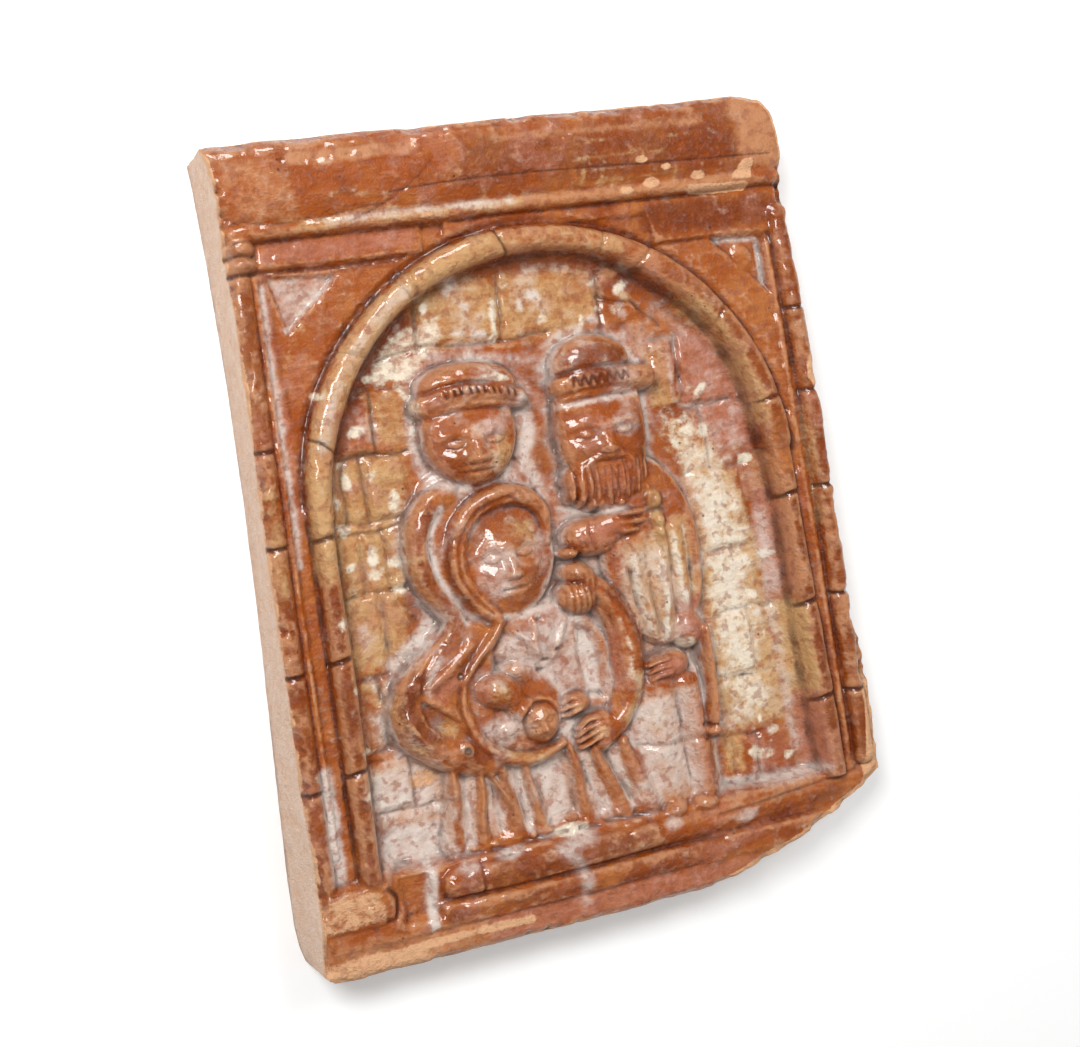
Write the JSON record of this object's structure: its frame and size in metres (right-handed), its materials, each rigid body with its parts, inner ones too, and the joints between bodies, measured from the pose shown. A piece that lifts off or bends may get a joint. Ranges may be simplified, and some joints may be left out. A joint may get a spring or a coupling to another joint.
{
  "type": "relief tile",
  "caption": "Thick fired clay wall tile with a hand-modelled relief: a family group in a brick niche under a round arch, framed by ringed colonettes and a cornice, honey-brown glaze.",
  "frame": {"origin": "middle of the bounding box on the flat back, on which the tile lies", "axes": "+X across the picture to its right, +Y up the picture towards the cornice, +Z out of the relief's face"},
  "size_m": [0.27, 0.341, 0.038],
  "materials": {
    "glazed_clay": "honey-brown lead glaze over buff clay, worn bare on the edges, with pale slip in the hollows"
  },
  "bodies": {
    "root": {"relief_tile": "glazed_clay"}
  },
  "joints": []
}
